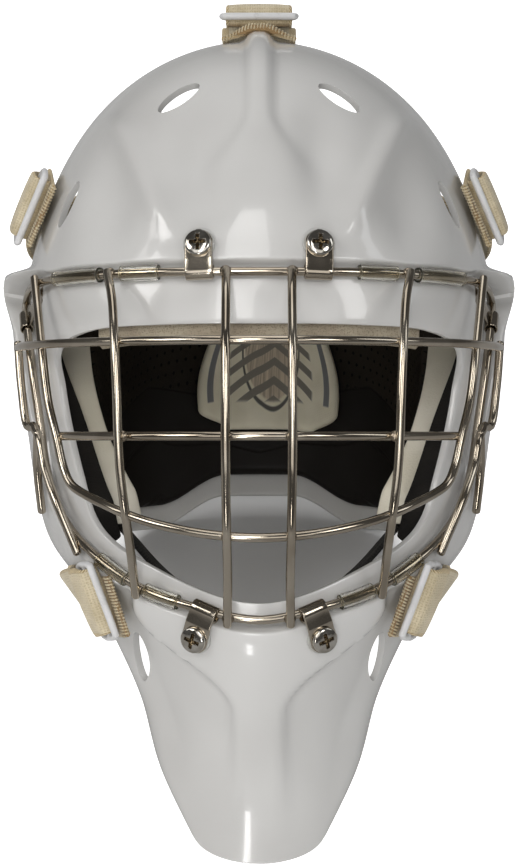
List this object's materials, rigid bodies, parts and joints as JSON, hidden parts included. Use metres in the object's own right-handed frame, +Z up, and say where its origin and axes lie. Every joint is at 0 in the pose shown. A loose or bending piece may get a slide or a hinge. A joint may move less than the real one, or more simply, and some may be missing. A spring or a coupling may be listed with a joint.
{
  "type": "hockey goalie mask",
  "caption": "White hockey goalie mask with a bright wire cage screwed over the face opening, five elastic straps with three-bar sliders, a floating back plate and foam padding inside.",
  "frame": {"origin": "on the floor under the middle of the mask's bounding box, the mask standing by itself on its chin tip and on the lower corners of its back plate", "axes": "+X towards the right of the front view, +Y towards the back of the head, +Z up"},
  "size_m": [0.2456, 0.3534, 0.2812],
  "materials": {
    "shell": "gloss white painted laminate, lightly marked",
    "steel": "bright polished wire",
    "screw": "bright plated pan head",
    "washer": "translucent plastic washer, drawn opaque here",
    "tubing": "clear vinyl tube, drawn opaque here",
    "elastic": "knitted elastic tape, tan with paler edges",
    "slider": "moulded white plastic",
    "plate": "moulded white plastic",
    "black_foam": "closed-cell black foam",
    "cream_foam": "cream brushed cloth over foam",
    "beige_foam": "beige cellular foam",
    "webbing": "black woven tape"
  },
  "bodies": {
    "root": {"shell": "shell", "back_plate": "plate", "cage": "steel", "clip_top_left": "steel", "washer_top_left": "washer", "screw_top_left": "screw", "clip_chin_left": "steel", "washer_chin_left": "washer", "screw_chin_left": "screw", "clip_side_left": "steel", "tubing_top_inner_left": "tubing", "tubing_top_outer_left": "tubing", "tubing_low_inner_left": "tubing", "tubing_low_outer_left": "tubing", "clip_top_right": "steel", "washer_top_right": "washer", "screw_top_right": "screw", "clip_chin_right": "steel", "washer_chin_right": "washer", "screw_chin_right": "screw", "clip_side_right": "steel", "tubing_top_inner_right": "tubing", "tubing_top_outer_right": "tubing", "tubing_low_inner_right": "tubing", "tubing_low_outer_right": "tubing", "strap_top": "elastic", "slider_top": "slider", "strap_upper_left": "elastic", "slider_upper_left": "slider", "strap_lower_left": "elastic", "slider_lower_left": "slider", "strap_upper_right": "elastic", "slider_upper_right": "slider", "strap_lower_right": "elastic", "slider_lower_right": "slider", "back_plate_foam": "black_foam", "occipital_pad": "cream_foam", "cheek_liner_left": "black_foam", "cheek_pad_left": "cream_foam", "cheek_liner_right": "black_foam", "cheek_pad_right": "cream_foam", "forehead_pad": "beige_foam", "chin_sling": "webbing"}
  },
  "joints": []
}
